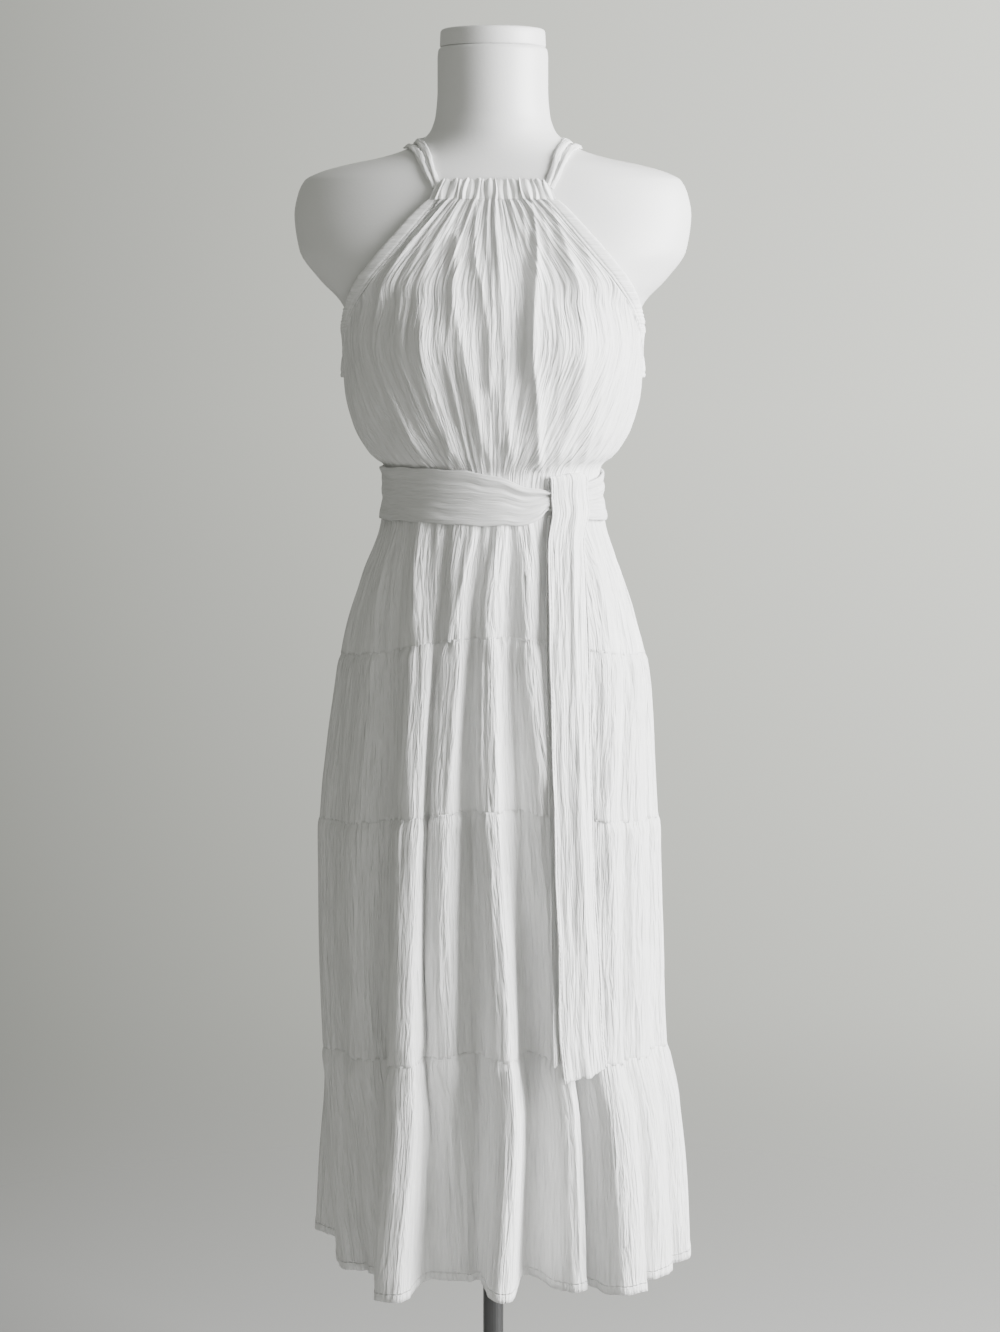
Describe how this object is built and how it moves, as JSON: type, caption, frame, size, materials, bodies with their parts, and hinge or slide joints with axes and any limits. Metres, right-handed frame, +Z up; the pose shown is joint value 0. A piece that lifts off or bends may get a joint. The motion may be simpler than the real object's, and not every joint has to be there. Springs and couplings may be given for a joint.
{
  "type": "halter maxi dress on a limbless dress form",
  "caption": "Sleeveless halter maxi dress of crinkled gauze with gathered tiers and a tied sash belt, worn by a white limbless dress form on a steel pole stand",
  "frame": {"origin": "on the floor, in the middle of the underside of the stand's round base, on the pole's axis", "axes": "+Z is up, along the pole. The front of the dress faces -Y. +X is the wearer's left, where the belt is tied."},
  "size_m": [0.3972, 0.3373, 1.5623],
  "materials": {
    "gauze": "matt white crinkled gauze",
    "form_shell": "satin white shell",
    "stand_steel": "satin steel"
  },
  "bodies": {
    "root": {"form_torso": "form_shell", "form_neck_cap": "form_shell", "stand_pole": "stand_steel", "stand_base": "stand_steel", "bodice_front": "gauze", "bodice_back": "gauze", "back_band": "gauze", "armhole_binding_right": "gauze", "armhole_binding_left": "gauze", "neck_casing": "gauze", "strap_lower": "gauze", "strap_upper": "gauze", "skirt_tier_1": "gauze", "skirt_tier_2": "gauze", "skirt_tier_3": "gauze", "skirt_tier_4": "gauze", "belt": "gauze", "belt_tail_front": "gauze", "belt_tail_back": "gauze"}
  },
  "joints": []
}
